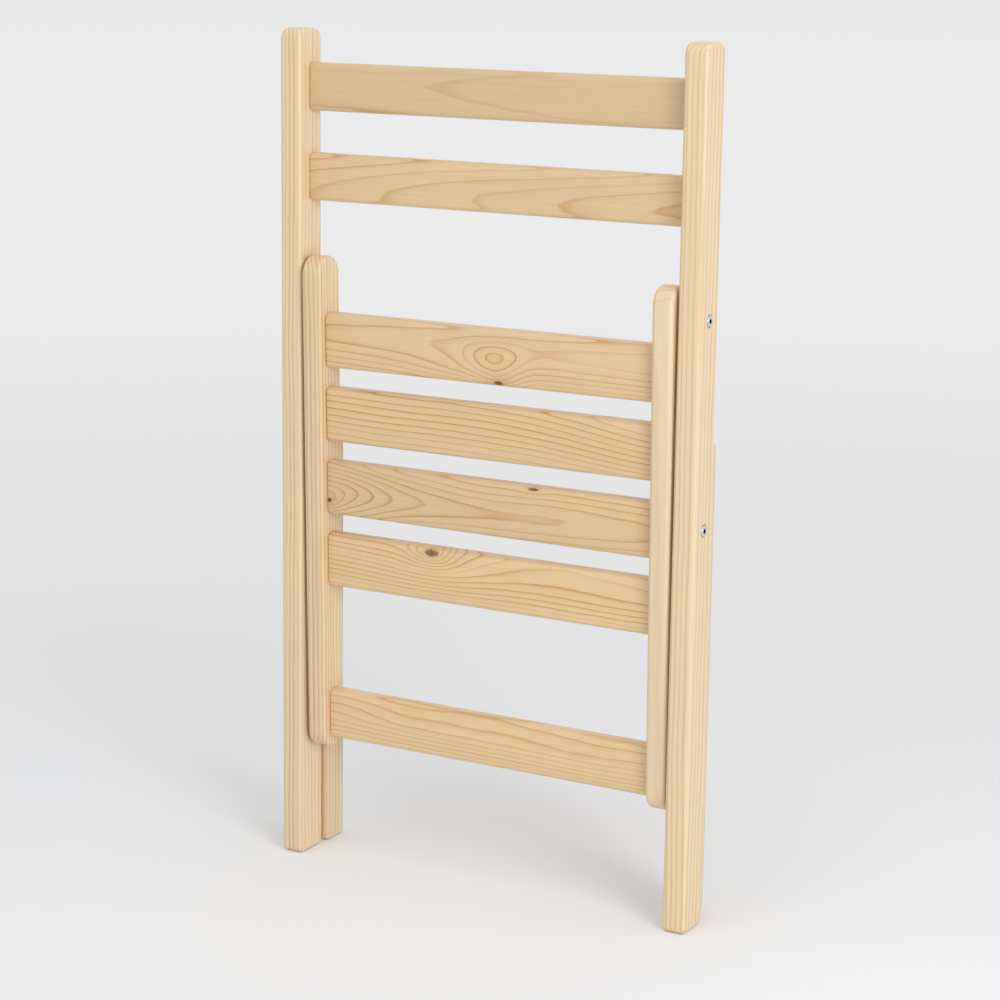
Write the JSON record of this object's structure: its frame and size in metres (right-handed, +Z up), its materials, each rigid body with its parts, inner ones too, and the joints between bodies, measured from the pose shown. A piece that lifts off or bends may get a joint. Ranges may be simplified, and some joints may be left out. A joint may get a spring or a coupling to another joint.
{
  "type": "folding chair",
  "caption": "Slatted pine folding chair, stored folded flat: post frame with back slats, seat frame and swing-out rear legs on bolted pivots.",
  "frame": {"origin": "bottom centre of the folded chair, on the floor that its feet stand on", "axes": "+X across the chair to its right side as seen from the front, -Y the front, +Z up along the posts"},
  "size_m": [0.4796, 0.0861, 0.88],
  "materials": {
    "pine": "clear satin lacquer on pale straight-grained pine",
    "pine_slat": "clear satin lacquer on honey-grained pine",
    "birch": "raw glued tenon",
    "steel": "bright zinc-plated steel",
    "zinc": "die-cast zinc",
    "nylon": "plain black nylon"
  },
  "bodies": {
    "back_frame": {"left_post": "pine", "right_post": "pine", "upper_back_slat": "pine_slat", "lower_back_slat": "pine_slat", "upper_back_slat_left_tenon": "birch", "upper_back_slat_right_tenon": "birch", "lower_back_slat_left_tenon": "birch", "lower_back_slat_right_tenon": "birch"},
    "seat_frame": {"left_seat_rail": "pine", "right_seat_rail": "pine", "seat_slat_1": "pine_slat", "seat_slat_2": "pine_slat", "seat_slat_3": "pine_slat", "seat_slat_4": "pine_slat", "rear_seat_crossrail": "pine_slat", "seat_slat_1_left_tenon": "birch", "seat_slat_1_right_tenon": "birch", "seat_slat_2_left_tenon": "birch", "seat_slat_2_right_tenon": "birch", "seat_slat_3_left_tenon": "birch", "seat_slat_3_right_tenon": "birch", "seat_slat_4_left_tenon": "birch", "seat_slat_4_right_tenon": "birch", "rear_seat_crossrail_left_tenon": "birch", "rear_seat_crossrail_right_tenon": "birch", "left_seat_pivot_bolt": "steel", "right_seat_pivot_bolt": "steel", "left_seat_pivot_insert": "zinc", "right_seat_pivot_insert": "zinc", "left_seat_pivot_spacer": "nylon", "right_seat_pivot_spacer": "nylon"},
    "rear_leg_frame": {"left_rear_leg": "pine", "right_rear_leg": "pine", "rear_leg_cross_dowel": "pine_slat", "left_pivot_strap": "steel", "right_pivot_strap": "steel", "left_leg_pivot_bolt": "steel", "right_leg_pivot_bolt": "steel", "left_upper_strap_screw": "steel", "left_lower_strap_screw": "steel", "right_upper_strap_screw": "steel", "right_lower_strap_screw": "steel"}
  },
  "joints": [
    {"name": "seat_fold", "type": "hinge", "parent": "back_frame", "child": "seat_frame", "pos_m": [0, -0.0182, 0.41], "axis": [1, 0, 0], "range_deg": [0, 106.5]},
    {"name": "rear_leg_fold", "type": "hinge", "parent": "back_frame", "child": "rear_leg_frame", "pos_m": [0, -0.0182, 0.616], "axis": [1, 0, 0], "range_deg": [0, 42.6]}
  ],
  "couplings": [
    {"joint": "rear_leg_fold", "follows": "seat_fold", "ratio": 0.4}
  ]
}
